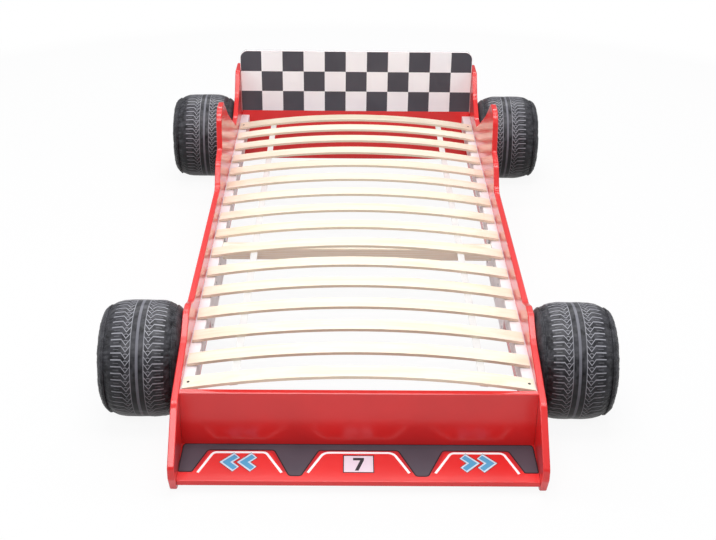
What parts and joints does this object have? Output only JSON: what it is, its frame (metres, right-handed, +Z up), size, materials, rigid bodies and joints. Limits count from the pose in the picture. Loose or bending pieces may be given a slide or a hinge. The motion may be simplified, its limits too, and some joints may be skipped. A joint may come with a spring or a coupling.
{
  "type": "child's race-car bed",
  "caption": "Low child's bed shaped like a racing car: side panels with fins, nose board, checked headboard, sprung slats on webbing and stuffed tyres.",
  "frame": {"origin": "on the floor, at the middle of the bed's length and width", "axes": "+Z up, +Y from the nose to the headboard, +X to the bed's right seen from the nose"},
  "size_m": [1.3908, 2.29, 0.492],
  "materials": {
    "red_lacquer": "red satin lacquer on fibreboard, rounded edges",
    "white_board": "white foil on board",
    "pine": "planed pine",
    "birch": "pale laminated birch, lightly sealed",
    "webbing": "white woven polyester webbing",
    "tyre_cover": "printed black coated cover over soft filling",
    "plywood": "raw plywood",
    "zinc_steel": "zinc-plated steel"
  },
  "bodies": {
    "root": {"corner_brackets": "zinc_steel", "crossbar": "pine", "crossbar_brackets": "zinc_steel", "front_panel": "red_lacquer", "headboard": "red_lacquer", "joint_plate_left": "white_board", "joint_plate_right": "white_board", "ledger_left_front": "white_board", "ledger_left_rear": "white_board", "ledger_right_front": "white_board", "ledger_right_rear": "white_board", "nose_board": "red_lacquer", "nose_cleats": "red_lacquer", "side_panel_left_front": "red_lacquer", "side_panel_left_rear": "red_lacquer", "side_panel_right_front": "red_lacquer", "side_panel_right_rear": "red_lacquer", "slat_01": "birch", "slat_02": "birch", "slat_03": "birch", "slat_04": "birch", "slat_05": "birch", "slat_06": "birch", "slat_07": "birch", "slat_08": "birch", "slat_09": "birch", "slat_10": "birch", "slat_11": "birch", "slat_12": "birch", "slat_13": "birch", "slat_14": "birch", "slat_15": "birch", "slat_16": "birch", "tyre_front_left": "tyre_cover", "tyre_front_right": "tyre_cover", "tyre_rear_left": "tyre_cover", "tyre_rear_right": "tyre_cover", "webbing_strap_left": "webbing", "webbing_strap_right": "webbing", "wheel_bolts": "zinc_steel", "wheel_plate_front_left": "plywood", "wheel_plate_front_right": "plywood", "wheel_plate_rear_left": "plywood", "wheel_plate_rear_right": "plywood"}
  },
  "joints": []
}
